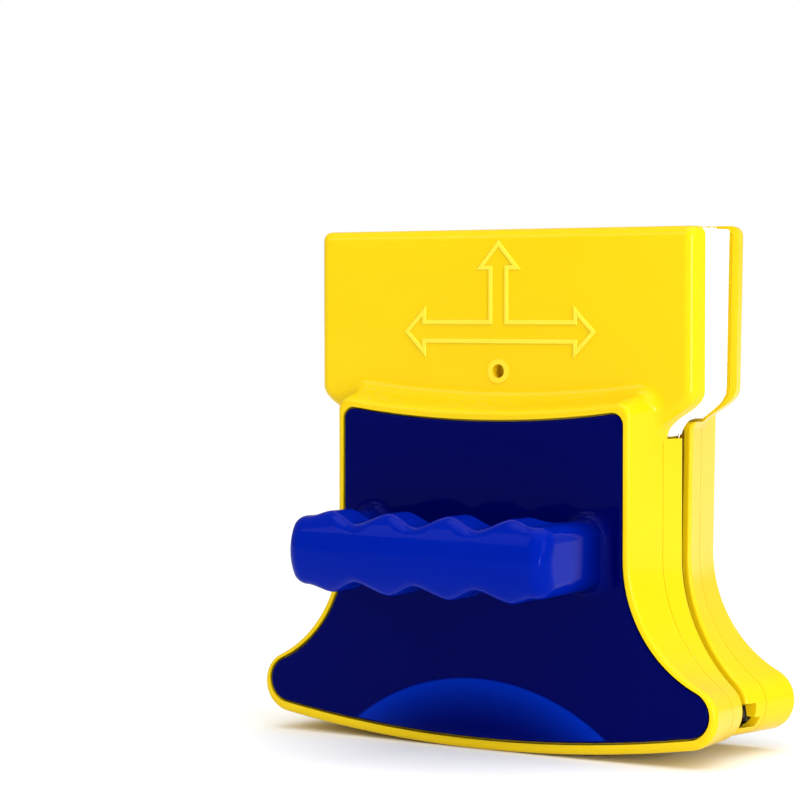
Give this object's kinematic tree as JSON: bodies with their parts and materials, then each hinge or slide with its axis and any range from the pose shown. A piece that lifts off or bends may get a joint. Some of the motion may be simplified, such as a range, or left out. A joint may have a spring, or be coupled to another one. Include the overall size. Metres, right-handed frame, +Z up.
{
  "type": "magnetic glass cleaner",
  "caption": "Double-sided magnetic glass cleaner: two yellow halves with white pads and rubber blades, the front one with a blue bridge handle.",
  "frame": {"origin": "centre of the bounding box in X and Y, at the lowest point of the two curved bases", "axes": "+Z up, the wide pad block on top; the handle half faces -Y and the other half +Y, with the parting plane at y = 17.2 mm; the rear half leans back by 1.8 degrees about its foot; +X across the object, to the right seen from the handle side"},
  "size_m": [0.1528, 0.0906, 0.1505],
  "materials": {
    "yellow_plastic": "gloss",
    "blue_plastic": "gloss",
    "blade_rubber": "satin",
    "pad_foam": "matte",
    "pad_cloth": "matte",
    "hook_tape": "matte",
    "steel": "brushed",
    "magnet": "polished"
  },
  "bodies": {
    "front_half": {"front_shell": "yellow_plastic", "front_base_plate": "yellow_plastic", "front_magnet_cover": "yellow_plastic", "front_yoke_plate": "steel", "front_magnets": "magnet", "front_base_screws": "steel", "front_cover_screws": "steel", "front_blade_bottom": "blade_rubber", "front_blade_left": "blade_rubber", "front_blade_right": "blade_rubber", "front_hook_strips": "hook_tape", "front_cover": "blue_plastic", "front_grip_back": "blue_plastic", "front_grip_screws": "steel"},
    "rear_half": {"rear_shell": "yellow_plastic", "rear_base_plate": "yellow_plastic", "rear_magnet_cover": "yellow_plastic", "rear_yoke_plate": "steel", "rear_magnets": "magnet", "rear_base_screws": "steel", "rear_cover_screws": "steel", "rear_blade_bottom": "blade_rubber", "rear_blade_left": "blade_rubber", "rear_blade_right": "blade_rubber", "rear_hook_strips": "hook_tape", "rear_cover": "blue_plastic"},
    "front_pad": {"front_pad_core": "pad_foam", "front_pad_face": "pad_cloth"},
    "rear_pad": {"rear_pad_core": "pad_foam", "rear_pad_face": "pad_cloth"}
  },
  "joints": [
    {"name": "pull_apart", "type": "slide", "parent": "front_half", "child": "rear_half", "axis": [0, 1, 0], "range_m": [0, 0.06]},
    {"name": "front_pad_lift", "type": "slide", "parent": "front_half", "child": "front_pad", "axis": [0, 0, 1], "range_m": [0, 0.062]},
    {"name": "rear_pad_lift", "type": "slide", "parent": "rear_half", "child": "rear_pad", "axis": [0, 0, 1], "range_m": [0, 0.062]}
  ]
}
